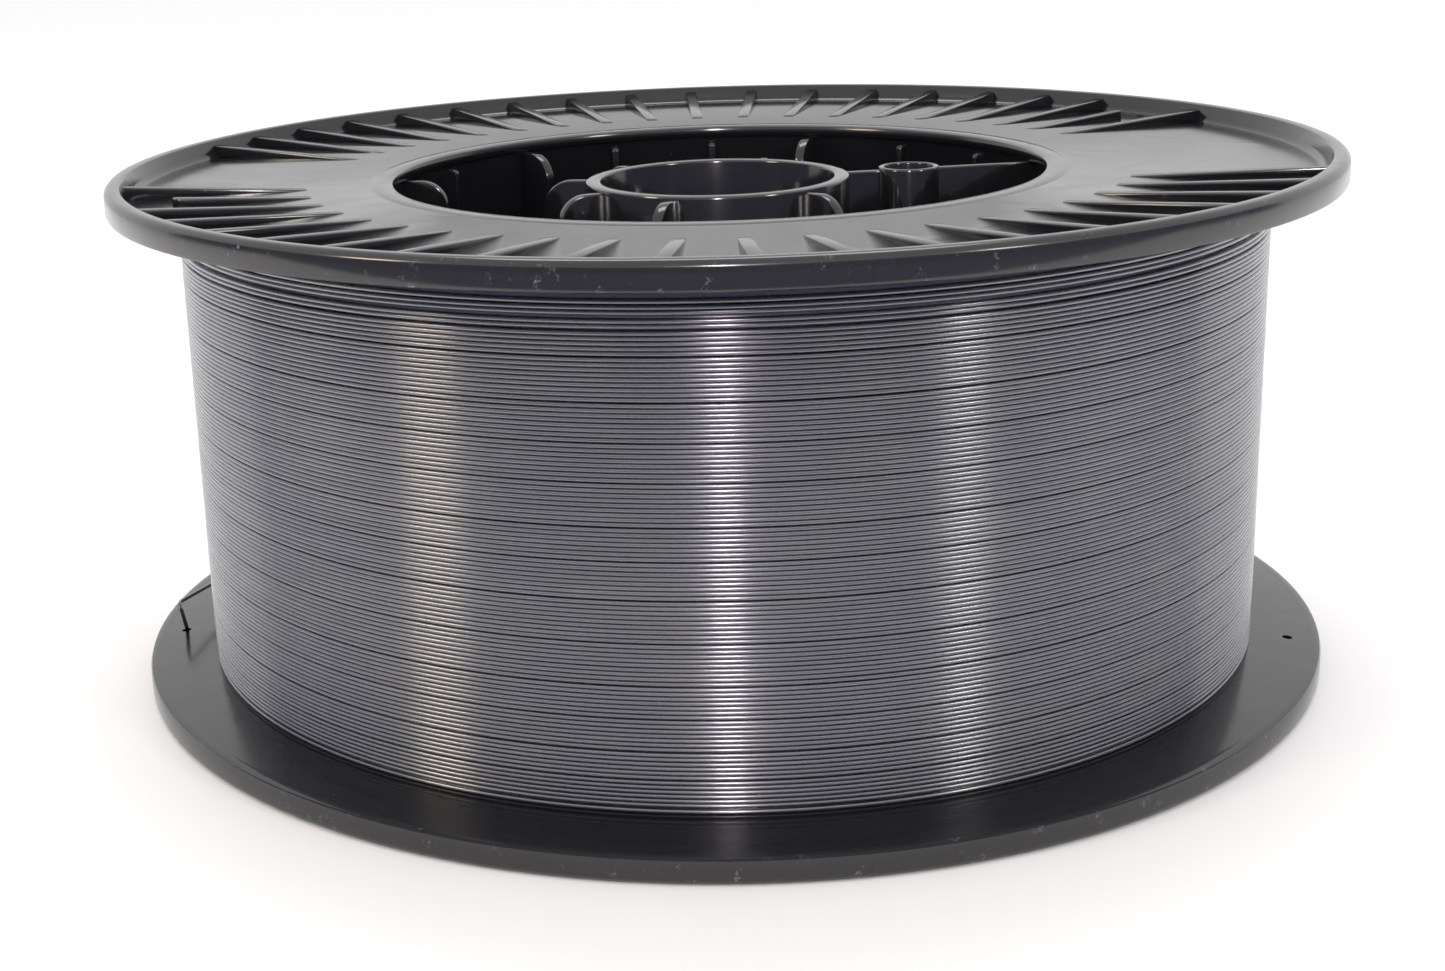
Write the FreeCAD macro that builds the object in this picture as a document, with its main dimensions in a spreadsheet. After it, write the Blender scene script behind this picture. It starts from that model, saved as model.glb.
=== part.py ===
import FreeCAD, Part
import os
import math
import Sketcher

os.makedirs("parts", exist_ok=True)
doc = FreeCAD.newDocument("wire_spool")
V = FreeCAD.Vector

# Frame: spool axis on Z, the lower rim stands on z = 0, lengths in mm and angles in degrees.
# Angles are read anticlockwise from +X, seen from above.
SIZES = {
    "flange_diameter": "270",
    "width": "114",
    "rim_height": "5.8",
    "rim_wall": "4.6",
    "rim_round": "1.4",
    "edge_break": "0.7",
    "plate_depth": "4.0",
    "plate_thickness": "3.0",
    "barrel_radius": "76.5",
    "barrel_wall": "3.0",
    "lip_overhang": "0.9",
    "lip_height": "2.6",
    "hub_bore": "52.5",
    "hub_wall": "3.45",
    "hub_setback": "6.2",
    "mid_floor": "2.5",
    "annulus_width": "19.9",
    "rib_width": "3.0",
    "rib_below_rim": "2.2",
    "rib_step": "7.5",
    "near_first": "-169.5",
    "near_count": "21",
    "far_first": "25.5",
    "far_count": "19",
    "mould_angle": "10.9",
    "web_thickness": "2.4",
    "web_drop": "6.8",
    "web_reach": "10.5",
    "web_corner": "6.5",
    "web_notch": "30",
    "fin_step": "20",
    "fin_count": "18",
    "fin_width": "1.8",
    "fin_height": "1.5",
    "boss_distance": "44.5",
    "boss_wall": "1.4",
    "drive_hole": "11",
    "pin_hole": "2.2",
    "pin_inset": "2.5",
    "rib_gap": "5.5",
    "free_hole_angle": "-13.7",
    "upper_hole_right": "33",
    "upper_hole_left": "190.5",
    "pack_margin": "15",
    "seat_margin": "1.5",
    "wire_diameter": "0.9",
    "tail_normal": "165.5",
    "tail_sink": "0.3",
    "tail_start": "6",
    "tail_low": "4.1",
    "tail_high": "7.0",
    "tail_lean": "0.34",
    "tail_end": "4.6",
}
DERIVED = {
    "rim_radius": "=flange_diameter / 2",
    "rim_inner": "=rim_radius - rim_wall",
    "round_step": "=rim_round * 0.3",
    "rim_out_1": "=rim_radius - rim_round",
    "rim_out_2": "=rim_radius - round_step",
    "rim_in_1": "=rim_inner + edge_break",
    "round_low": "=rim_round",
    "round_high": "=width - rim_round",
    "round_step_high": "=width - round_step",
    "break_high": "=width - edge_break",
    "pack_radius": "=rim_radius - pack_margin",
    "seat_radius": "=pack_radius + seat_margin",
    "hub_inner": "=hub_bore / 2",
    "hub_outer": "=hub_inner + hub_wall",
    "barrel_inner": "=barrel_radius - barrel_wall",
    "opening_radius": "=barrel_inner - lip_overhang",
    "lip_edge": "=opening_radius + edge_break",
    "lip_edge_low": "=plate_depth + edge_break",
    "lip_edge_high": "=width - lip_edge_low",
    "wind_low": "=plate_depth + plate_thickness",
    "wind_high": "=width - wind_low",
    "rim_under": "=width - rim_height",
    "plate_high": "=width - plate_depth",
    "lip_low": "=plate_depth + lip_height",
    "lip_high": "=width - lip_low",
    "hub_low": "=hub_setback",
    "hub_high": "=width - hub_setback",
    "floor_low": "=(width - mid_floor) / 2",
    "floor_high": "=(width + mid_floor) / 2",
    "web_low": "=web_drop",
    "web_high": "=width - web_drop",
    "notch_low": "=web_low + web_notch",
    "notch_high": "=width - notch_low",
    "web_root": "=hub_outer - hub_wall / 2",
    "web_in": "=hub_outer + web_reach",
    "web_out": "=barrel_inner - web_reach",
    "web_tip": "=barrel_inner + barrel_wall / 2",
    "fin_in": "=barrel_inner - fin_height",
    "fin_root": "=barrel_inner + barrel_wall / 3",
    "fin_low": "=web_low + 1",
    "fin_high": "=width - fin_low",
    "rib_start": "=opening_radius + annulus_width",
    "rib_in": "=rib_start - 2",
    "rib_out": "=rim_inner + rim_wall / 3",
    "rib_foot_low": "=plate_depth + 1",
    "rib_foot_high": "=width - rib_foot_low",
    "rib_tip_low": "=rib_below_rim",
    "rib_tip_high": "=width - rib_below_rim",
    "rib_zero_low": "=plate_depth + 0.1",
    "rib_zero_high": "=width - rib_zero_low",
    "boss_diameter": "=drive_hole + 2 * boss_wall",
    "boss_x": "=boss_distance * cos(mould_angle * 1deg)",
    "boss_y": "=boss_distance * sin(mould_angle * 1deg)",
    "pin_radius": "=rim_inner - pin_inset",
    "tail_offset": "=pack_radius - tail_sink",
    "tail_hole_angle": "=tail_normal + acos(tail_offset / pin_radius) / 1deg",
    "tail_start_s": "=-tail_start",
    "tail_start_z": "=wind_low + tail_low",
    "tail_bend_z": "=wind_low + tail_high",
    "tail_bend_s": "=sqrt(pin_radius ^ 2 - tail_offset ^ 2) + tail_lean * tail_high",
    "tail_end_z": "=wind_low - tail_end",
    "tail_end_s": "=tail_bend_s - tail_lean * (tail_high + tail_end)",
}
sheet = doc.addObject("Spreadsheet::Sheet", "Sizes")
for row, (word, value) in enumerate([*SIZES.items(), *DERIVED.items()], start=1):
    sheet.set(f"A{row}", word)
    sheet.set(f"B{row}", value)
    sheet.setAlias(f"B{row}", word)
doc.recompute()


def size(word):
    return float(sheet.get(word))


def origin(body, role):
    """Plane or axis of a body's own origin."""
    return next(f for f in body.Origin.OriginFeatures if f.Role == role)


def sketch_on(body, name, role="XZ_Plane", turn=None, shift=None):
    """Sketch on an origin plane, turned about the spool axis and moved along its own normal."""
    sketch = body.newObject("Sketcher::SketchObject", name)
    sketch.AttachmentSupport = (origin(body, role), [""])
    sketch.MapMode = "FlatFace"
    if turn:
        sketch.AttachmentOffset = FreeCAD.Placement(V(0, 0, 0), FreeCAD.Rotation(V(0, 1, 0), 1))
        sketch.setExpression("AttachmentOffset.Rotation.Angle", turn)
        if shift:
            sketch.setExpression("AttachmentOffset.Base.x", f"({shift}) * sin({turn})")
            sketch.setExpression("AttachmentOffset.Base.z", f"({shift}) * cos({turn})")
    elif shift:
        sketch.setExpression("AttachmentOffset.Base.z", shift)
    return sketch


def pin_axis(sketch, edge, end, kind, word):
    """Tie one coordinate of a sketch point to a sheet cell, or to the X axis where it is nil."""
    if word is None:
        sketch.addConstraint(Sketcher.Constraint("PointOnObject", edge, end, -1))
        return
    label = f"{kind[-1].lower()}{edge}_{end}"
    index = sketch.addConstraint(Sketcher.Constraint(kind, -1, 1, edge, end, size(word)))
    sketch.renameConstraint(index, label)
    sketch.setExpression(f"Constraints.{label}", f"Sizes.{word}")


def pin_point(sketch, edge, end, words):
    pin_axis(sketch, edge, end, "DistanceX", words[0])
    pin_axis(sketch, edge, end, "DistanceY", words[1])


def polygon(sketch, corners, closed=True):
    """Straight outline whose corners are pairs of sheet words."""
    spots = [V(size(x), size(y) if y else 0, 0) for x, y in corners]
    count = len(corners) if closed else len(corners) - 1
    first = sketch.GeometryCount
    for i in range(count):
        sketch.addGeometry(Part.LineSegment(spots[i], spots[(i + 1) % len(spots)]))
    for i in range(count):
        if closed or i:
            sketch.addConstraint(Sketcher.Constraint(
                "Coincident", first + (i - 1) % count, 2, first + i, 1))
        pin_point(sketch, first + i, 1, corners[i])
    if not closed:
        pin_point(sketch, first + count - 1, 2, corners[-1])
    return sketch


def rounded(sketch, corners, radius):
    """Outline of level and upright lines, with an arc at each corner marked True."""
    spots = [V(size(x), size(y), 0) for x, y, _ in corners]
    total = len(corners)
    along = [(spots[(i + 1) % total] - spots[i]).normalize() for i in range(total)]
    reach = [size(radius) if corner[2] else 0 for corner in corners]
    for i in range(total):
        after = (i + 1) % total
        sketch.addGeometry(Part.LineSegment(
            spots[i] + along[i] * reach[i], spots[after] - along[i] * reach[after]))
    for i, (x, y, arc) in enumerate(corners):
        before = (i - 1) % total
        level = abs(along[before].x) > 0.5
        if not arc:
            sketch.addConstraint(Sketcher.Constraint("Coincident", before, 2, i, 1))
            pin_point(sketch, i, 1, (x, y))
            continue
        pin_axis(sketch, before, 2, "DistanceY" if level else "DistanceX", y if level else x)
        pin_axis(sketch, i, 1, "DistanceX" if level else "DistanceY", x if level else y)
        centre = spots[i] + (along[i] - along[before]) * reach[i]
        turn_left = along[before].cross(along[i]).z > 0
        begin = spots[i] - along[before] * reach[i] if turn_left else spots[i] + along[i] * reach[i]
        angle = math.atan2(begin.y - centre.y, begin.x - centre.x)
        index = sketch.addGeometry(Part.ArcOfCircle(
            Part.Circle(centre, V(0, 0, 1), reach[i]), angle, angle + math.pi / 2))
        ends = (1, 2) if turn_left else (2, 1)
        sketch.addConstraint(Sketcher.Constraint("Tangent", before, 2, index, ends[0]))
        sketch.addConstraint(Sketcher.Constraint("Tangent", i, 1, index, ends[1]))
        spot = sketch.addConstraint(Sketcher.Constraint("Radius", index, reach[i]))
        sketch.renameConstraint(spot, f"radius{index}")
        sketch.setExpression(f"Constraints.radius{index}", f"Sizes.{radius}")
    return sketch


def circle(sketch, x, y, across):
    index = sketch.addGeometry(Part.Circle(V(size(x), size(y), 0), V(0, 0, 1), size(across) / 2))
    pin_point(sketch, index, 3, (x, y))
    spot = sketch.addConstraint(Sketcher.Constraint("Diameter", index, size(across)))
    sketch.renameConstraint(spot, f"across{index}")
    sketch.setExpression(f"Constraints.across{index}", f"Sizes.{across}")
    return sketch


def sided(sketch, x, y, across, sides):
    """Regular outline of straight sides about a point, in place of a circle on a thin wire."""
    centre, radius = V(size(x), size(y), 0), size(across) / 2
    spots = [centre + V(math.cos(a), math.sin(a), 0) * radius
             for a in (2 * math.pi * i / sides for i in range(sides))]
    for i in range(sides):
        sketch.addGeometry(Part.LineSegment(spots[i], spots[(i + 1) % sides]))
    guide = sketch.addGeometry(Part.Circle(centre, V(0, 0, 1), radius), True)
    pin_point(sketch, guide, 3, (x, y))
    sketch.addConstraint(Sketcher.Constraint("Horizontal", 0, 1, guide, 3))
    for i in range(sides):
        sketch.addConstraint(Sketcher.Constraint("Coincident", i, 2, (i + 1) % sides, 1))
        sketch.addConstraint(Sketcher.Constraint("PointOnObject", i, 1, guide))
        if i:
            sketch.addConstraint(Sketcher.Constraint("Equal", 0, i))
    spot = sketch.addConstraint(Sketcher.Constraint("Diameter", guide, 2 * radius))
    sketch.renameConstraint(spot, "across")
    sketch.setExpression("Constraints.across", f"Sizes.{across}")
    return sketch


def spin(body, name, sketch):
    turned = body.newObject("PartDesign::Revolution", name)
    turned.Profile = sketch
    turned.ReferenceAxis = (origin(body, "Z_Axis"), [""])
    turned.Angle = 360
    turned.Refine = False
    doc.recompute()
    return turned


def pad(body, name, sketch, length, both_ways=True):
    solid = body.newObject("PartDesign::Pad", name)
    solid.Profile = sketch
    solid.setExpression("Length", length)
    solid.Midplane = both_ways
    solid.Refine = False
    doc.recompute()
    return solid


def ring(body, name, feature, count, span):
    """Copies of a feature spread about the spool axis, first and last ones span apart."""
    pattern = body.newObject("PartDesign::PolarPattern", name)
    pattern.Originals = [feature]
    pattern.Axis = (origin(body, "Z_Axis"), [""])
    pattern.setExpression("Occurrences", count)
    pattern.setExpression("Angle", span)
    pattern.Refine = False
    body.Tip = pattern
    doc.recompute()
    return pattern


def place(solid, angle, out, across, up):
    """Put a primitive on the lower floor plane, turned to an angle and moved out from the axis."""
    turn = f"Sizes.{angle} * 1 deg"
    ahead, aside = f"({out}) * cos({turn})", f"({out}) * sin({turn})"
    solid.AttachmentSupport = (origin(solid.getParentGeoFeatureGroup(), "XY_Plane"), [""])
    solid.MapMode = "FlatFace"
    solid.AttachmentOffset = FreeCAD.Placement(V(0, 0, 0), FreeCAD.Rotation(V(0, 0, 1), 1))
    solid.setExpression("AttachmentOffset.Rotation.Angle", turn)
    solid.setExpression("AttachmentOffset.Base.x", f"({ahead} - ({across}) * sin({turn})) * 1 mm")
    solid.setExpression("AttachmentOffset.Base.y", f"({aside} + ({across}) * cos({turn})) * 1 mm")
    solid.setExpression("AttachmentOffset.Base.z", f"({up}) * 1 mm")


# Spool: one moulding of hub, mid floor, barrel and two flanges.
spool = doc.addObject("PartDesign::Body", "spool")
spool.Label = "spool"
section = polygon(sketch_on(spool, "section"), [
    ("hub_inner", "hub_low"), ("hub_outer", "hub_low"), ("hub_outer", "floor_low"),
    ("barrel_inner", "floor_low"), ("barrel_inner", "lip_low"), ("opening_radius", "lip_low"),
    ("opening_radius", "lip_edge_low"), ("lip_edge", "plate_depth"), ("rim_inner", "plate_depth"),
    ("rim_inner", "edge_break"), ("rim_in_1", None), ("rim_out_1", None),
    ("rim_out_2", "round_step"), ("rim_radius", "round_low"), ("rim_radius", "rim_height"),
    ("seat_radius", "wind_low"), ("barrel_radius", "wind_low"), ("barrel_radius", "wind_high"),
    ("seat_radius", "wind_high"), ("rim_radius", "rim_under"), ("rim_radius", "round_high"),
    ("rim_out_2", "round_step_high"), ("rim_out_1", "width"), ("rim_in_1", "width"),
    ("rim_inner", "break_high"), ("rim_inner", "plate_high"), ("lip_edge", "plate_high"),
    ("opening_radius", "lip_edge_high"), ("opening_radius", "lip_high"),
    ("barrel_inner", "lip_high"), ("barrel_inner", "floor_high"), ("hub_outer", "floor_high"),
    ("hub_outer", "hub_high"), ("hub_inner", "hub_high")])
spin(spool, "turned_section", section)

# Two narrow gussets to a web, joined low down, on either side of the mid floor.
WEB = [("web_root", "web_low", False), ("web_in", "web_low", True), ("web_in", "notch_low", False),
       ("web_out", "notch_low", False), ("web_out", "web_low", True), ("web_tip", "web_low", False),
       ("web_tip", "web_high", False), ("web_out", "web_high", True), ("web_out", "notch_high", False),
       ("web_in", "notch_high", False), ("web_in", "web_high", True), ("web_root", "web_high", False)]
for name, turn, apart in (("front", "240", "3"), ("back", "60", "3"), ("side", "160", "2")):
    drawn = sketch_on(spool, f"{name}_web_outline", turn=f"(Sizes.mould_angle + {turn}) * 1 deg")
    web = pad(spool, f"{name}_web", rounded(drawn, WEB, "web_corner"), "Sizes.web_thickness * 1 mm")
    ring(spool, f"{name}_webs", web, "2", f"Sizes.fin_step * {apart} * 1 deg")

# The full web that carries the drive hole.
solid_web = polygon(sketch_on(spool, "drive_web_outline", turn="Sizes.mould_angle * 1 deg"), [
    ("web_root", "web_low"), ("web_tip", "web_low"), ("web_tip", "web_high"), ("web_root", "web_high")])
pad(spool, "drive_web", solid_web, "Sizes.web_thickness * 1 mm")
boss = circle(sketch_on(spool, "boss_outline", "XY_Plane", shift="Sizes.hub_low * 1 mm"),
              "boss_x", "boss_y", "boss_diameter")
pad(spool, "drive_boss", boss, "(Sizes.hub_high - Sizes.hub_low) * 1 mm", False)
drive = spool.newObject("PartDesign::Pocket", "drive_hole")
drive_outline = sketch_on(spool, "drive_hole_outline", "XY_Plane")
drive.Profile = circle(drive_outline, "boss_x", "boss_y", "drive_hole")
drive.Type = "ThroughAll"
drive.Midplane = True
drive.Refine = False
doc.recompute()

fin = polygon(sketch_on(spool, "fin_outline", turn="Sizes.mould_angle * 1 deg"), [
    ("fin_in", "fin_low"), ("fin_root", "fin_low"), ("fin_root", "fin_high"), ("fin_in", "fin_high")])
fin = pad(spool, "fin", fin, "Sizes.fin_width * 1 mm")
ring(spool, "fins", fin, "Sizes.fin_count", "360 deg")

RIB_LOW = [("rib_in", "rib_foot_low"), ("rib_in", "rib_zero_low"), ("rib_out", "rib_tip_low"),
           ("rib_out", "rib_foot_low")]
RIB_HIGH = [("rib_in", "rib_foot_high"), ("rib_out", "rib_foot_high"), ("rib_out", "rib_tip_high"),
            ("rib_in", "rib_zero_high")]
for side in ("near", "far"):
    outline = sketch_on(spool, f"{side}_rib_outline", turn=f"Sizes.{side}_first * 1 deg")
    polygon(outline, RIB_LOW)
    polygon(outline, RIB_HIGH)
    rib = pad(spool, f"{side}_rib", outline, "Sizes.rib_width * 1 mm")
    ring(spool, f"{side}_ribs", rib, f"Sizes.{side}_count",
         f"(Sizes.{side}_count - 1) * Sizes.rib_step * 1 deg")

# Small holes that take a wire end; the upper ones have the rib above them cut off square.
for name, angle, low, high in (
        ("tail_hole", "tail_hole_angle", "-1", "Sizes.wind_low + 1"),
        ("free_hole", "free_hole_angle", "-1", "Sizes.wind_low + 1"),
        ("right_hole", "upper_hole_right", "Sizes.wind_high - 1", "Sizes.width"),
        ("left_hole", "upper_hole_left", "Sizes.wind_high - 1", "Sizes.width")):
    if angle.startswith("upper"):
        gap = spool.newObject("PartDesign::SubtractiveBox", f"{name}_rib_gap")
        place(gap, angle, "Sizes.rim_inner - Sizes.rib_gap", "-Sizes.rib_width", "Sizes.plate_high")
        gap.setExpression("Length", "Sizes.rib_gap * 1 mm")
        gap.setExpression("Width", "2 * Sizes.rib_width * 1 mm")
        gap.setExpression("Height", "Sizes.plate_depth * 1 mm")
        gap.Refine = False
        doc.recompute()
    hole = spool.newObject("PartDesign::SubtractivePrism", name)
    place(hole, angle, "Sizes.pin_radius", "0", low)
    hole.Polygon = 12
    hole.setExpression("Circumradius", "Sizes.pin_hole / 2 * 1 mm")
    hole.setExpression("Height", f"({high} - ({low})) * 1 mm")
    hole.Refine = name == "left_hole"
    doc.recompute()

# Wire: the wound pack as one turned ring with its bore, and the end bent down into a flange hole.
wire = doc.addObject("PartDesign::Body", "welding_wire")
wire.Label = "welding_wire"
pack = polygon(sketch_on(wire, "pack_section"), [
    ("barrel_radius", "wind_low"), ("pack_radius", "wind_low"),
    ("pack_radius", "wind_high"), ("barrel_radius", "wind_high")])
spin(wire, "pack", pack)

# Its end runs off the pack in a tangent plane, then bends down through the hole.
path = sketch_on(wire, "tail_path", turn="(Sizes.tail_normal + 90) * 1 deg",
                 shift="Sizes.tail_offset * 1 mm")
polygon(path, [("tail_start_s", "tail_start_z"), ("tail_bend_s", "tail_bend_z"),
               ("tail_end_s", "tail_end_z")], closed=False)
mouth = sketch_on(wire, "tail_mouth", turn="Sizes.tail_normal * 1 deg", shift="Sizes.tail_start * 1 mm")
sided(mouth, "tail_offset", "tail_start_z", "wire_diameter", 10)
tail = wire.newObject("PartDesign::AdditivePipe", "tail")
tail.Profile = mouth
tail.Spine = (path, ["Edge1", "Edge2"])
tail.Transition = "Right corner"
doc.recompute()

objects = [o for o in doc.Objects if o.Name != "Sizes"]
for item in objects:
    assert "Invalid" not in item.State and "Error" not in item.State, (item.Name, item.State)
for body in (spool, wire):
    shape = body.Shape
    assert not shape.isNull() and shape.isValid() and len(shape.Solids) == 1, body.Label
    print(body.Label, round(shape.Volume), len(shape.Faces), shape.BoundBox)
    shape.exportStep(f"parts/{body.Label}.step")
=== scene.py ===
import math
import random

import bpy
from mathutils import Matrix, Vector


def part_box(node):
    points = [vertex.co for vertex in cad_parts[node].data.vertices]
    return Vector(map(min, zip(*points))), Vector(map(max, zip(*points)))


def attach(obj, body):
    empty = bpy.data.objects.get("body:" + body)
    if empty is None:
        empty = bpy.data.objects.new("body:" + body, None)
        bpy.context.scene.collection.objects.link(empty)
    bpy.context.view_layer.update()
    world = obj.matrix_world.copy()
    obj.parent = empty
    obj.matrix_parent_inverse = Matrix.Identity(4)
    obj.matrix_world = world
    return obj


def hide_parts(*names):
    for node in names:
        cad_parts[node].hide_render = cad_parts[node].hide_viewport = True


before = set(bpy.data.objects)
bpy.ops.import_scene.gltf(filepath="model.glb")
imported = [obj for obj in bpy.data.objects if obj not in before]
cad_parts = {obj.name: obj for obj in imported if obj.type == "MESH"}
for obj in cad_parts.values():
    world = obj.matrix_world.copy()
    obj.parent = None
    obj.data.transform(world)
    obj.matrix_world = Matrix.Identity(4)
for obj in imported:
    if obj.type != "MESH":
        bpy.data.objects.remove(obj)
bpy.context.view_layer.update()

# Sizes in metres, seen from above, with angles in degrees anticlockwise from +X.
MM = 0.001
RIM, _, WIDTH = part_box("spool")[1]
MIDDLE = WIDTH / 2
RIM_WALL = 4.6 * MM
RIM_HEIGHT = 5.8 * MM
RIM_INNER = RIM - RIM_WALL
PLATE = 4.0 * MM
WIND_LOW = 7.0 * MM
WIND_HIGH = WIDTH - WIND_LOW
BARREL = 76.5 * MM
BARREL_INNER = 73.5 * MM
OPENING = 72.6 * MM
LIP_HEIGHT = 2.6 * MM
HUB_INNER = 26.25 * MM
HUB_OUTER = 29.7 * MM
HUB_END = 6.2 * MM
FLOOR_HALF = 1.25 * MM
RIB_WIDTH = 3.0 * MM
RIM_DRAFT = 1.1 * MM
RIB_START = OPENING + 19.2 * MM
RIB_BELOW_RIM = 1.3 * MM
CUT_RIB_END = 121 * MM
RIB_ANGLES = [3 + 7.5 * k for k in range(-23, 22) if not -19.5 < 3 + 7.5 * k < 25.5]
CUT_RIB_ANGLES = (33, -162)
MOULD_ANGLE = 10.9
WEB_THICKNESS = 2.4 * MM
WEB_END = 6.8 * MM
WEB_ANGLES = [MOULD_ANGLE + step for step in (60, 120, 160, 200, 240, 300)]
FIN_COUNT = 18
BOSS_DISTANCE = 44.5 * MM
DRIVE_HOLE = 5.5 * MM
BOSS_WALL = 1.4 * MM
PIN_CIRCLE = RIM_INNER - 2.5 * MM
PIN_HOLE = 1.1 * MM
PARTING_ANGLES = (-79.1, 100.9)

WIRE = 0.45 * MM
WOUND = 120 * MM - WIRE
TURN = 0.905 * MM
TURNS = 105
CROSSING_ANGLE = 90
TAIL_ANGLE = 165.5
TAIL_TURN = 5 - (TAIL_ANGLE - CROSSING_ANGLE) / 360
TAIL_OFFSET = 119.7 * MM
CROSSING_LENGTH, GAP_LENGTH = 0.1, 0.12
UNEVEN_OUT, UNEVEN_UP = 0.045 * MM, 0.02 * MM
SEED_OUT, SEED_UP = 3, 8
STEPS_PER_TURN = 160
# Gaps in the winding: the turn at which each one opens, and how wide it is in mm.
GAPS = [(1, 0.30), (6.6, 0.14), (13.3, 0.18), (19.7, 0.10), (27.4, 0.16), (36.1, 0.12), (44.8, 0.16),
        (52.6, 0.12), (60.3, 0.14), (68.9, 0.12), (77.2, 0.12), (84.5, 0.18), (93.8, 0.18),
        (99, 0.35), (101, 0.65), (103, 0.15), (104, 0.85)]


def deselect():
    if bpy.context.mode != "OBJECT":
        bpy.ops.object.mode_set(mode="OBJECT")
    bpy.ops.object.select_all(action="DESELECT")


def only(obj):
    deselect()
    obj.select_set(True)
    bpy.context.view_layer.objects.active = obj


def edit(obj, mode="VERT"):
    only(obj)
    bpy.ops.object.mode_set(mode="EDIT")
    bpy.ops.mesh.select_mode(type=mode)
    bpy.ops.mesh.select_all(action="DESELECT")


def apply(obj, kind, **settings):
    only(obj)
    bpy.ops.object.modifier_add(type=kind)
    modifier = obj.modifiers[-1]
    for name, value in settings.items():
        setattr(modifier, name, value)
    bpy.ops.object.modifier_apply(modifier=modifier.name)


def closed_up(obj):
    """Merge doubled vertices and turn the faces outwards."""
    edit(obj)
    bpy.ops.mesh.select_all(action="SELECT")
    bpy.ops.mesh.remove_doubles(threshold=0.002 * MM)
    bpy.ops.mesh.normals_make_consistent(inside=False)
    bpy.ops.object.mode_set(mode="OBJECT")


def rounded(corners):
    """Points of an outline whose corners are (out, up, rounding), each rounding as a short arc."""
    points = []
    for i, (out, up, radius) in enumerate(corners):
        corner = Vector((out, up))
        if not radius:
            points.append(corner)
            continue
        before = (Vector(corners[i - 1][:2]) - corner).normalized()
        after = (Vector(corners[(i + 1) % len(corners)][:2]) - corner).normalized()
        half = before.angle(after) / 2
        centre = corner + (before + after).normalized() * radius / math.sin(half)
        first, last = (corner + side * radius / math.tan(half) - centre for side in (before, after))
        steps = max(2, round(radius / MM * 1.5) + 1)
        points += [centre + first.lerp(last, k / steps).normalized() * radius for k in range(steps + 1)]
    return points


def drawn(name, corners):
    """Flat face in the XZ plane, drawn point by point along a rounded outline."""
    points = rounded(corners)
    deselect()
    bpy.ops.mesh.primitive_plane_add(size=MM, location=(0, 0, 0))
    obj = bpy.context.object
    obj.name = name
    bpy.ops.object.mode_set(mode="EDIT")
    bpy.ops.mesh.select_mode(type="VERT")
    bpy.ops.mesh.select_all(action="SELECT")
    bpy.ops.mesh.merge(type="CENTER")
    bpy.ops.transform.translate(value=(points[0].x, 0, points[0].y))
    for before, after in zip(points, points[1:]):
        step = after - before
        bpy.ops.mesh.extrude_region_move(TRANSFORM_OT_translate={"value": (step.x, 0, step.y)})
    bpy.ops.mesh.select_all(action="SELECT")
    bpy.ops.mesh.edge_face_add()
    bpy.ops.object.mode_set(mode="OBJECT")
    return obj


def turned(obj, steps, centre=(0, 0, 0)):
    """Spin a drawn section about an upright axis."""
    edit(obj, "FACE")
    bpy.ops.mesh.select_all(action="SELECT")
    bpy.ops.mesh.delete(type="ONLY_FACE")
    bpy.ops.mesh.select_mode(type="VERT")
    bpy.ops.mesh.select_all(action="SELECT")
    bpy.ops.mesh.spin(steps=steps, angle=2 * math.pi, center=centre, axis=(0, 0, 1))
    closed_up(obj)
    return obj


def thickened(obj, thickness):
    """Give a drawn face its thickness to both sides."""
    edit(obj, "FACE")
    bpy.ops.mesh.select_all(action="SELECT")
    bpy.ops.mesh.extrude_region_move(TRANSFORM_OT_translate={"value": (0, thickness, 0)})
    bpy.ops.mesh.select_all(action="SELECT")
    bpy.ops.transform.translate(value=(0, -thickness / 2, 0))
    closed_up(obj)
    return obj


def eased_edges(obj, width):
    apply(obj, "BEVEL", width=width, segments=2, limit_method="ANGLE", angle_limit=math.radians(50))
    return obj


def round_end(obj, reach):
    """Turn the outer end of a rib into a half round, seen from above."""
    edit(obj, "EDGE")
    bpy.ops.object.mode_set(mode="OBJECT")
    for edge in obj.data.edges:
        a, b = (obj.data.vertices[v].co for v in edge.vertices)
        edge.select = abs(a.z - b.z) > MM and min(a.x, b.x) > reach - 0.1 * MM
    bpy.ops.object.mode_set(mode="EDIT")
    bpy.ops.mesh.bevel(offset=0.98 * RIB_WIDTH / 2, segments=4, affect="EDGES")
    bpy.ops.object.mode_set(mode="OBJECT")


def joined(parts):
    """Join pieces into the first of them."""
    deselect()
    for part in parts:
        part.select_set(True)
    bpy.context.view_layer.objects.active = parts[0]
    bpy.ops.object.join()
    return parts[0]


def ringed(obj, angles):
    """Copies of a piece at angles about the spool axis, joined into the first."""
    copies = []
    for angle in angles:
        twin = obj.copy()
        twin.data = obj.data.copy()
        bpy.context.collection.objects.link(twin)
        twin.data.transform(Matrix.Rotation(math.radians(angle), 4, "Z"))
        copies.append(twin)
    name = obj.name
    bpy.data.objects.remove(obj)
    whole = joined(copies)
    whole.name = name
    return whole


def mirrored(obj):
    """Add the same piece on the other flange, as far from mid height."""
    only(obj)
    twin = obj.copy()
    twin.data = obj.data.copy()
    bpy.context.collection.objects.link(twin)
    twin.data.transform(Matrix.Translation((0, 0, WIDTH)) @ Matrix.Scale(-1, 4, (0, 0, 1)))
    twin.data.flip_normals()
    twin.select_set(True)
    bpy.ops.object.join()
    return obj


def smooth(obj, angle=35):
    only(obj)
    bpy.ops.object.shade_smooth_by_angle(angle=math.radians(angle))
    deselect()
    return obj


def at_angle(out, angle, across=0, up=0):
    a = math.radians(angle)
    return Vector((out * math.cos(a) - across * math.sin(a), out * math.sin(a) + across * math.cos(a), up))


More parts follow.
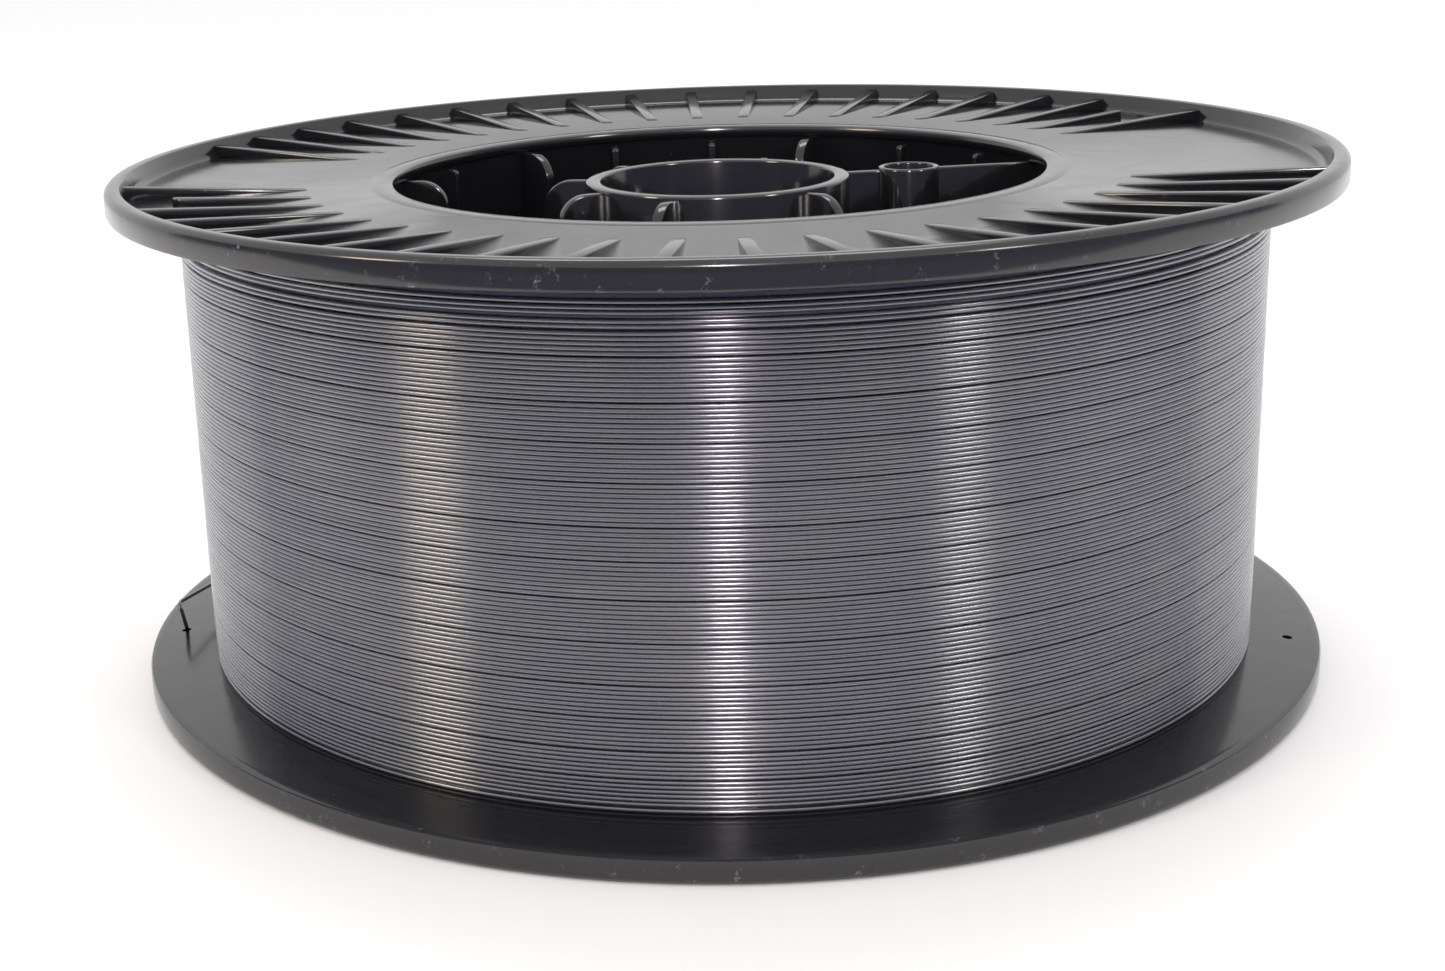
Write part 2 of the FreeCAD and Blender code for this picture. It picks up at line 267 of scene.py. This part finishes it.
def drilled(obj, radius, spots, low, high):
    """Round holes along Z through a piece, at places seen from above."""
    for spot in spots:
        deselect()
        bpy.ops.mesh.primitive_cylinder_add(vertices=24, radius=radius, depth=high - low,
                                            location=(spot.x, spot.y, (low + high) / 2))
        drill = bpy.context.object
        apply(obj, "BOOLEAN", object=drill, operation="DIFFERENCE", solver="EXACT")
        bpy.data.objects.remove(drill)
    return obj


# Moulded body: hub tube, mid floor, barrel and both flanges in one turned section.
def moulded_body():
    groove = BARREL + 0.9 * MM
    lower = [
        (HUB_INNER, HUB_END, 0.5 * MM), (HUB_OUTER, HUB_END, 0.6 * MM),
        (HUB_OUTER, MIDDLE - FLOOR_HALF, 1.2 * MM), (BARREL_INNER, MIDDLE - FLOOR_HALF, 1.2 * MM),
        (BARREL_INNER, PLATE + LIP_HEIGHT, 0), (OPENING, PLATE + LIP_HEIGHT, 0.3 * MM),
        (OPENING, PLATE, 0.9 * MM), (groove, PLATE, 0), (groove + 0.4 * MM, PLATE + 0.16 * MM, 0),
        (groove + MM, PLATE + 0.02 * MM, 0), (RIM_INNER, PLATE + 0.15 * MM, 1.8 * MM),
        (RIM_INNER + RIM_DRAFT, 0, 0.8 * MM),
        (RIM, 0, 1.5 * MM), (RIM, RIM_HEIGHT, 0.9 * MM), (RIM - 2.4 * MM, RIM_HEIGHT, 0.5 * MM),
        (RIM - 13.5 * MM, WIND_LOW, 0), (BARREL, WIND_LOW, 0.8 * MM)]
    upper = [(out, WIDTH - up, rounding) for out, up, rounding in reversed(lower)]
    body = turned(drawn("spool_body", lower + upper), 180)
    drilled(body, PIN_HOLE, [at_angle(PIN_CIRCLE, tail_hole_angle()), at_angle(PIN_CIRCLE, -13.7)],
            -MM, WIND_LOW + MM)
    drilled(body, PIN_HOLE, [at_angle(PIN_CIRCLE, angle) for angle in CUT_RIB_ANGLES],
            WIND_HIGH - MM, WIDTH + MM)
    drilled(body, DRIVE_HOLE + BOSS_WALL / 2, [at_angle(BOSS_DISTANCE, MOULD_ANGLE)],
            MIDDLE - 4 * MM, MIDDLE + 4 * MM)
    return smooth(body)


def tail_hole_angle():
    return TAIL_ANGLE + math.degrees(math.acos(TAIL_OFFSET / PIN_CIRCLE))


def flange_ribs():
    """Wedge ribs that rise from the plate to just under the rim, on both flanges."""
    top = WIDTH - RIB_BELOW_RIM
    plate_top = WIDTH - PLATE
    whole = [angle for angle in RIB_ANGLES if angle not in CUT_RIB_ANGLES]
    ribs = []
    for name, reach, angles in (("rim_ribs", RIM_INNER + RIM_DRAFT + 0.3 * MM, whole),
                                ("cut_ribs", CUT_RIB_END, CUT_RIB_ANGLES)):
        high = plate_top + (top - plate_top) * (reach - RIB_START) / (RIM_INNER - RIB_START)
        rib = drawn(name, [(RIB_START - MM, plate_top - 0.8 * MM, 0), (reach, plate_top - 0.8 * MM, 0),
                           (reach, high, 0), (RIB_START + 3 * MM, plate_top + 0.24 * MM, 0),
                           (RIB_START, plate_top + 0.04 * MM, 0)])
        thickened(rib, RIB_WIDTH)
        if name == "cut_ribs":
            round_end(rib, reach)
        eased_edges(rib, 0.4 * MM)
        ribs.append(ringed(rib, angles))
    return smooth(mirrored(joined(ribs)))


def notched_webs():
    """Webs between hub and barrel, cut down in the middle, with a round shoulder at each side."""
    inner, outer = HUB_OUTER + 10.5 * MM, BARREL_INNER - 10.5 * MM
    notch = WEB_END + 30 * MM
    shoulder = 6.5 * MM
    lower = [(HUB_OUTER - 1.5 * MM, WEB_END, 0), (inner, WEB_END, shoulder), (inner, notch, 3 * MM),
             (outer, notch, 3 * MM), (outer, WEB_END, shoulder), (BARREL_INNER + 1.5 * MM, WEB_END, 0)]
    upper = [(out, WIDTH - up, rounding) for out, up, rounding in reversed(lower)]
    web = eased_edges(thickened(drawn("webs", lower + upper), WEB_THICKNESS), 0.45 * MM)
    return smooth(ringed(web, WEB_ANGLES), 40)


def drive_web():
    """Full web to both sides of the drive boss."""
    boss = DRIVE_HOLE + BOSS_WALL
    parts = []
    for start, end in ((HUB_OUTER - 1.5 * MM, BOSS_DISTANCE - boss + 0.6 * MM),
                       (BOSS_DISTANCE + boss - 0.6 * MM, BARREL_INNER + 1.5 * MM)):
        outline = [(start, WEB_END, 0), (end, WEB_END, 0),
                   (end, WIDTH - WEB_END, 0), (start, WIDTH - WEB_END, 0)]
        half = eased_edges(thickened(drawn("drive_web", outline), WEB_THICKNESS), 0.4 * MM)
        parts.append(ringed(half, [MOULD_ANGLE]))
    return smooth(joined(parts))


def drive_boss():
    """Tube that takes the feeder's drive pin."""
    inner, outer = BOSS_DISTANCE + DRIVE_HOLE, BOSS_DISTANCE + DRIVE_HOLE + BOSS_WALL
    outline = [(inner, HUB_END, 0.4 * MM), (outer, HUB_END, 0.5 * MM),
               (outer, WIDTH - HUB_END, 0.5 * MM), (inner, WIDTH - HUB_END, 0.4 * MM)]
    boss = turned(drawn("drive_boss", outline), 64, centre=(BOSS_DISTANCE, 0, 0))
    return smooth(ringed(boss, [MOULD_ANGLE]), 40)


def barrel_fins():
    """Shallow fins with round tops down the inside of the barrel."""
    low, high = WEB_END + MM, WIDTH - WEB_END - MM
    outline = [(BARREL_INNER - 1.5 * MM, low, 1.2 * MM), (BARREL_INNER + MM, low, 0),
               (BARREL_INNER + MM, high, 0), (BARREL_INNER - 1.5 * MM, high, 1.2 * MM)]
    fin = eased_edges(thickened(drawn("barrel_fins", outline), 1.8 * MM), 0.4 * MM)
    return smooth(ringed(fin, [MOULD_ANGLE + 360 / FIN_COUNT * k for k in range(FIN_COUNT)]), 40)


def parting_lines():
    """Hair-thin flash that the mould's joint left across both rims."""
    proud = 0.05 * MM
    outline = [(RIM - 1.2 * MM, 0.4 * MM, 0), (RIM - 0.35 * MM, 0.35 * MM, 0), (RIM + proud, 1.6 * MM, 0),
               (RIM + proud, RIM_HEIGHT - 0.9 * MM, 0), (RIM - 0.9 * MM, RIM_HEIGHT - 0.1 * MM, 0)]
    line = eased_edges(thickened(drawn("parting_lines", outline), 0.22 * MM), 0.04 * MM)
    return smooth(mirrored(ringed(line, PARTING_ANGLES)))


# Winding: helices of round wire whose height follows the turn number.
def eased(t):
    t = min(max(t, 0), 1)
    return t * t * (3 - 2 * t)


def height_of(turn):
    """Height of the wire's middle: each turn lies level and climbs one wire at the crossing behind."""
    whole = math.floor(turn)
    climbed = max(whole - 1 + eased((turn - whole) / CROSSING_LENGTH), 0)
    opened = sum(width * MM * eased((turn - at) / GAP_LENGTH) for at, width in GAPS)
    return WIND_LOW + WIRE + TURN * climbed + opened


def angle_of(turn):
    return CROSSING_ANGLE - 360 * turn


def wander(turn, seed):
    """Small slow unevenness along the wire, from -1 to 1."""
    generator = random.Random(seed)
    waves = [(generator.uniform(0.35, 3.3), generator.uniform(0, 2 * math.pi)) for _ in range(5)]
    return sum(math.sin(turn * rate * 2 * math.pi + shift) for rate, shift in waves) / 5


def strand(name, points, sides):
    """Round wire along a list of points, as a mesh."""
    curve = bpy.data.curves.new(name, "CURVE")
    curve.dimensions = "3D"
    curve.twist_mode = "Z_UP"
    curve.bevel_depth = WIRE
    curve.bevel_resolution = sides // 2 - 2
    curve.use_fill_caps = True
    spline = curve.splines.new("POLY")
    spline.points.add(len(points) - 1)
    for spot, place in zip(spline.points, points):
        spot.co = (*place, 1)
    obj = bpy.data.objects.new(name, curve)
    bpy.context.collection.objects.link(obj)
    only(obj)
    bpy.ops.object.convert(target="MESH")
    bpy.ops.object.shade_smooth()
    deselect()
    return obj


def wound(first, last, radius, steps, ends_in=0.0):
    """Points of the winding between two turn numbers; ends_in sinks its top end under the next layer."""
    points = []
    count = round((last - first) * steps)
    for i in range(count + 1):
        turn = first + (last - first) * i / count
        sunk = ends_in * eased((turn - last + GAP_LENGTH) / GAP_LENGTH)
        out = radius - UNEVEN_OUT * (1 + wander(turn, SEED_OUT)) - sunk
        up = height_of(turn) + UNEVEN_UP * wander(turn, SEED_UP)
        points.append(at_angle(out, angle_of(turn), up=up))
    return points


def wire_tail():
    """From the winding's last turn, off in a tangent line, sharply down and through the flange."""
    bend_up, slope, sunk = 7.0 * MM, 0.34, 4.6 * MM
    hole = math.sqrt(PIN_CIRCLE ** 2 - TAIL_OFFSET ** 2)
    bend = hole + slope * bend_up
    top = WIND_LOW + bend_up
    route = [(4 * MM, height_of(TAIL_TURN)), (bend - 2.2 * MM, top - 0.1 * MM),
             (bend - 0.9 * MM, top - 0.08 * MM), (bend - 0.25 * MM, top - 0.5 * MM),
             (bend - slope * 2 * MM, top - 2 * MM), (bend - slope * (bend_up + sunk), WIND_LOW - sunk)]
    points = []
    for along, up in route:
        out = WOUND + (TAIL_OFFSET - WOUND) * along / bend
        points.append(at_angle(out, TAIL_ANGLE, across=along, up=up))
    return points


def winding():
    """The outer turns in four lengths, and the turns that show in their gaps."""
    lower = wound(0, TAIL_TURN - 0.02, WOUND, STEPS_PER_TURN, ends_in=0.8 * MM)
    pieces = [strand("winding_foot", lower, 10)]
    breaks = [TAIL_TURN, 38, 72, TURNS]
    names = ("winding_low", "winding_middle", "winding_top")
    for name, first, last in zip(names, breaks, breaks[1:]):
        points = wound(first, last, WOUND, STEPS_PER_TURN)
        if name == "winding_low":
            points = list(reversed(wire_tail())) + points
        pieces.append(strand(name, points, 10))
    beneath = wound(0.2, TURNS - 0.2, WOUND - 0.8 * MM, 72)
    pieces.append(strand("winding_beneath", beneath, 6))
    return pieces


def inner_layers():
    """The winding's deeper layers, out of sight behind the outer two."""
    out = WOUND - 1.3 * MM
    outline = [(BARREL, WIND_LOW, 0), (out, WIND_LOW, 0.4 * MM), (out, WIND_HIGH - 0.3 * MM, 0.4 * MM),
               (BARREL, WIND_HIGH - 0.3 * MM, 0)]
    return smooth(turned(drawn("winding_inner", outline), 90))


# Materials
def colour(code):
    """Linear colour of an sRGB hex value."""
    channels = [int(code[i:i + 2], 16) / 255 for i in (1, 3, 5)]
    return (*[c / 12.92 if c <= 0.04045 else ((c + 0.055) / 1.055) ** 2.4 for c in channels], 1)


def node(material, kind, settings=None, **links):
    """Add a node; settings are its properties, and links name an input and what feeds it."""
    made = material.node_tree.nodes.new(kind)
    for name, value in (settings or {}).items():
        setattr(made, name, value)
    for name, value in links.items():
        socket = made.inputs[int(name[1:])] if name[1:].isdigit() else made.inputs[name.replace("_", " ")]
        if isinstance(value, bpy.types.NodeSocket):
            material.node_tree.links.new(value, socket)
        else:
            socket.default_value = value
    return made


def new_material(name):
    material = bpy.data.materials.new(name)
    material.use_nodes = True
    material.node_tree.nodes.clear()
    return material


def finish_shader(material, shader):
    node(material, "ShaderNodeOutputMaterial", Surface=shader.outputs["BSDF"])
    return material


def moulded_plastic():
    """Injection-moulded black polystyrene: dark and glossy, with scuffs, dust and rubbed rims."""
    m = new_material("black_polystyrene_moulded")
    place = node(m, "ShaderNodeTexCoord").outputs["Object"]
    grain_size, flow_size, scuff_size = 0.5 * MM, 28 * MM, 5 * MM
    grain = node(m, "ShaderNodeTexNoise", Vector=place, Scale=1 / grain_size, Detail=2.0, Roughness=0.6)
    flow = node(m, "ShaderNodeTexNoise", Vector=place, Scale=1 / flow_size, Detail=2.0, Distortion=1.2)
    patches = node(m, "ShaderNodeTexNoise", Vector=place, Scale=1 / scuff_size, Detail=6.0, Roughness=0.75)
    specks = node(m, "ShaderNodeTexVoronoi", {"feature": "F1"}, Vector=place, Scale=1 / (6 * MM),
                  Randomness=1.0)
    speck_mask = node(m, "ShaderNodeMapRange", Value=specks.outputs["Distance"],
                      From_Min=0.03, From_Max=0.055, To_Min=1.0, To_Max=0.0)
    scuff_mask = node(m, "ShaderNodeMapRange", Value=patches.outputs["Fac"],
                      From_Min=0.66, From_Max=0.78, To_Min=0.0, To_Max=0.5)
    marks = node(m, "ShaderNodeMath", {"operation": "MULTIPLY"}, i0=speck_mask.outputs["Result"], i1=0.35)
    both = node(m, "ShaderNodeMath", {"operation": "MAXIMUM"}, i0=marks.outputs[0],
                i1=scuff_mask.outputs["Result"])
    dulled = node(m, "ShaderNodeMix", {"data_type": "RGBA"}, Factor=both.outputs[0],
                  i6=colour("#141417"), i7=colour("#3A3A3D"))
    split = node(m, "ShaderNodeSeparateXYZ", Vector=place)
    flat = node(m, "ShaderNodeCombineXYZ", X=split.outputs["X"], Y=split.outputs["Y"])
    reach = node(m, "ShaderNodeVectorMath", {"operation": "LENGTH"}, i0=flat.outputs[0])
    on_rim = node(m, "ShaderNodeMapRange", Value=reach.outputs["Value"], From_Min=RIM - 1.2 * MM,
                  From_Max=RIM - 0.5 * MM, To_Min=0.0, To_Max=1.0)
    knocks = node(m, "ShaderNodeTexNoise", Vector=place, Scale=1 / (5 * MM), Detail=9.0, Roughness=0.85)
    knock_mask = node(m, "ShaderNodeMapRange", Value=knocks.outputs["Fac"], From_Min=0.59, From_Max=0.7,
                      To_Min=0.015, To_Max=0.65)
    rubbed = node(m, "ShaderNodeMath", {"operation": "MULTIPLY"}, i0=on_rim.outputs["Result"],
                  i1=knock_mask.outputs["Result"])
    worn = node(m, "ShaderNodeMix", {"data_type": "RGBA"}, Factor=rubbed.outputs[0],
                i6=dulled.outputs["Result"], i7=colour("#9A9AA0"))
    rough = node(m, "ShaderNodeMapRange", Value=flow.outputs["Fac"],
                 From_Min=0.3, From_Max=0.7, To_Min=0.13, To_Max=0.19)
    rougher = node(m, "ShaderNodeMath", {"operation": "MULTIPLY_ADD"}, i0=both.outputs[0], i1=0.3,
                   i2=rough.outputs["Result"])
    inside = node(m, "ShaderNodeMapRange", Value=reach.outputs["Value"], From_Min=OPENING - 6 * MM,
                  From_Max=OPENING, To_Min=0.8, To_Max=1.0)
    roughest = node(m, "ShaderNodeMath", {"operation": "MULTIPLY"}, i0=rougher.outputs[0],
                    i1=inside.outputs["Result"])
    fine = node(m, "ShaderNodeBump", Strength=0.06, Distance=0.02 * MM, Height=grain.outputs["Fac"])
    warp = node(m, "ShaderNodeBump", Strength=0.3, Distance=0.35 * MM, Height=flow.outputs["Fac"],
                Normal=fine.outputs["Normal"])
    shader = node(m, "ShaderNodeBsdfPrincipled", Base_Color=worn.outputs["Result"],
                  Roughness=roughest.outputs[0], IOR=1.59, Normal=warp.outputs["Normal"])
    return finish_shader(m, shader)


def drawn_steel():
    """Cold-drawn bare steel wire: grey, smooth along its length and rougher across it."""
    m = new_material("steel_wire_drawn")
    place = node(m, "ShaderNodeTexCoord").outputs["Object"]
    split = node(m, "ShaderNodeSeparateXYZ", Vector=place)
    around = node(m, "ShaderNodeMath", {"operation": "ARCTAN2"}, i0=split.outputs["Y"], i1=split.outputs["X"])
    arc = node(m, "ShaderNodeMath", {"operation": "MULTIPLY"}, i0=around.outputs[0], i1=WOUND)
    along = node(m, "ShaderNodeCombineXYZ", X=arc.outputs[0], Y=split.outputs["Z"])
    patch = node(m, "ShaderNodeVectorMath", {"operation": "MULTIPLY"}, i0=along.outputs[0],
                 i1=(1 / (40 * MM), 1 / (1.4 * MM), 1))
    tone = node(m, "ShaderNodeTexNoise", Vector=patch.outputs["Vector"], Scale=1.0, Detail=3.0, Roughness=0.6)
    lines = node(m, "ShaderNodeVectorMath", {"operation": "MULTIPLY"}, i0=along.outputs[0],
                 i1=(1 / (25 * MM), 1 / (0.9 * MM), 1))
    drawing = node(m, "ShaderNodeTexNoise", Vector=lines.outputs["Vector"], Scale=1.0, Detail=2.0)
    oil = node(m, "ShaderNodeTexNoise", Vector=place, Scale=1 / (22 * MM), Detail=3.0)
    steel = node(m, "ShaderNodeMix", {"data_type": "RGBA"}, Factor=tone.outputs["Fac"],
                 i6=colour("#757577"), i7=colour("#A2A2A4"))
    tinted = node(m, "ShaderNodeMix", {"data_type": "RGBA"}, Factor=oil.outputs["Fac"],
                  i6=steel.outputs["Result"], i7=colour("#7D7E87"))
    rough = node(m, "ShaderNodeMapRange", Value=drawing.outputs["Fac"],
                 From_Min=0.3, From_Max=0.7, To_Min=0.22, To_Max=0.29)
    along_wire = node(m, "ShaderNodeVectorMath", {"operation": "CROSS_PRODUCT"}, i0=(0, 0, 1), i1=place)
    run = node(m, "ShaderNodeVectorMath", {"operation": "NORMALIZE"}, i0=along_wire.outputs["Vector"])
    shader = node(m, "ShaderNodeBsdfPrincipled", Base_Color=tinted.outputs["Result"], Metallic=1.0,
                  Roughness=rough.outputs["Result"], Anisotropic=0.9, Anisotropic_Rotation=0.25,
                  Tangent=run.outputs["Vector"])
    return finish_shader(m, shader)


def dress(obj, material, slot_name, *nodes):
    obj.data.materials.clear()
    obj.data.materials.append(material)
    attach(obj, "root")
    if nodes:
        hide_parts(*nodes)


plastic = moulded_plastic()
steel = drawn_steel()
body = moulded_body()
dress(body, plastic, "black_plastic", "spool")
for part in (flange_ribs(), notched_webs(), drive_web(), drive_boss(), barrel_fins(), parting_lines()):
    dress(part, plastic, "black_plastic")
coils = winding()
dress(coils[1], steel, "steel_wire", "welding_wire")
for part in (coils[0], *coils[2:], inner_layers()):
    dress(part, steel, "steel_wire")


# Studio: pale floor, white surroundings, three soft boxes in front, one above, and cards in front.
def pale_floor():
    deselect()
    bpy.ops.mesh.primitive_plane_add(size=8, location=(0, 0, -0.0002))
    floor = bpy.context.object
    floor.name = "studio_floor"
    m = new_material("white_paper_matt")
    shader = node(m, "ShaderNodeBsdfPrincipled", Base_Color=colour("#FAFAFA"), Roughness=0.9)
    finish_shader(m, shader)
    floor.data.materials.append(m)


def white_world():
    world = bpy.data.worlds.new("studio")
    bpy.context.scene.world = world
    world.use_nodes = True
    background = world.node_tree.nodes["Background"]
    background.inputs["Color"].default_value = (1, 1, 1, 1)
    background.inputs["Strength"].default_value = 1.0


def dark_cards():
    """Grey cards in front, a low curved one and one on the floor, that only show in the reflections."""
    radius, height, wall_back, floor_back = 1.5, 0.56, 0.45, -0.24
    deselect()
    bpy.ops.mesh.primitive_cylinder_add(vertices=96, radius=radius, depth=height, end_fill_type="NOTHING",
                                        location=(0, 0, height / 2))
    card = bpy.context.object
    card.name = "studio_dark_cards"
    edit(card, "FACE")
    bpy.ops.mesh.select_all(action="SELECT")
    bpy.ops.mesh.bisect(plane_co=(0, wall_back, 0), plane_no=(0, 1, 0), clear_outer=True)
    bpy.ops.mesh.select_all(action="DESELECT")
    bpy.ops.mesh.primitive_circle_add(vertices=96, radius=radius, fill_type="NGON", location=(0, 0, MM))
    bpy.ops.mesh.bisect(plane_co=(0, floor_back, 0), plane_no=(0, 1, 0), clear_outer=True)
    bpy.ops.object.mode_set(mode="OBJECT")
    m = new_material("grey_card_matt")
    finish_shader(m, node(m, "ShaderNodeBsdfPrincipled", Base_Color=colour("#72758A"), Roughness=0.9))
    card.data.materials.append(m)
    card.visible_camera = False
    card.visible_diffuse = False
    card.visible_shadow = False


def soft_box(name, azimuth, distance, height, size, watts, tint):
    """Upright area lamp that faces the spool from an azimuth."""
    light = bpy.data.lights.new(name, "AREA")
    light.shape = "RECTANGLE"
    light.size, light.size_y = size
    light.energy = watts
    light.color = colour(tint)[:3]
    lamp = bpy.data.objects.new(name, light)
    bpy.context.collection.objects.link(lamp)
    lamp.location = at_angle(distance, azimuth, up=height)
    aim = Vector((0, 0, MIDDLE)) - lamp.location
    lamp.rotation_euler = aim.to_track_quat("-Z", "Y").to_euler()


def photo_camera():
    """Camera of the photograph: place, aim, roll and an off-centre lens."""
    focal_px, image_width, centre_px = 2141.37, 1445, 600
    back, up = -483.42 * MM, 178.49 * MM
    yaw, pitch, roll = -0.05995, 0.28669, -0.03752
    ahead = Vector((math.sin(yaw) * math.cos(pitch), math.cos(yaw) * math.cos(pitch), -math.sin(pitch)))
    level = Vector((math.cos(yaw), -math.sin(yaw), 0))
    top = level.cross(ahead)
    side = level * math.cos(roll) + top * math.sin(roll)
    top = -level * math.sin(roll) + top * math.cos(roll)
    data = bpy.data.cameras.new("photo_camera")
    data.sensor_width = 36
    data.lens = focal_px / image_width * data.sensor_width
    data.shift_x = 0.5 - centre_px / image_width
    data.clip_start = 0.01
    camera = bpy.data.objects.new("photo_camera", data)
    bpy.context.collection.objects.link(camera)
    turn = Matrix((side, top, -ahead)).transposed()
    camera.matrix_world = Matrix.Translation((0, back, up)) @ turn.to_4x4()
    bpy.context.scene.camera = camera


pale_floor()
white_world()
dark_cards()
soft_box("soft_box_left", -150.5, 1.1, 0.57, (0.22, 0.16), 2.0, "#FFEACC")
soft_box("soft_box_front", -89.8, 1.1, 0.57, (0.05, 0.16), 3.4, "#FFEEF2")
soft_box("soft_box_right", -41.9, 1.1, 0.57, (0.14, 0.16), 1.5, "#FFFFF0")
soft_box("soft_box_above", 90, 0.45, 1.3, (0.9, 0.5), 7, "#FFFFFF")
photo_camera()
bpy.context.scene.view_settings.view_transform = "Standard"
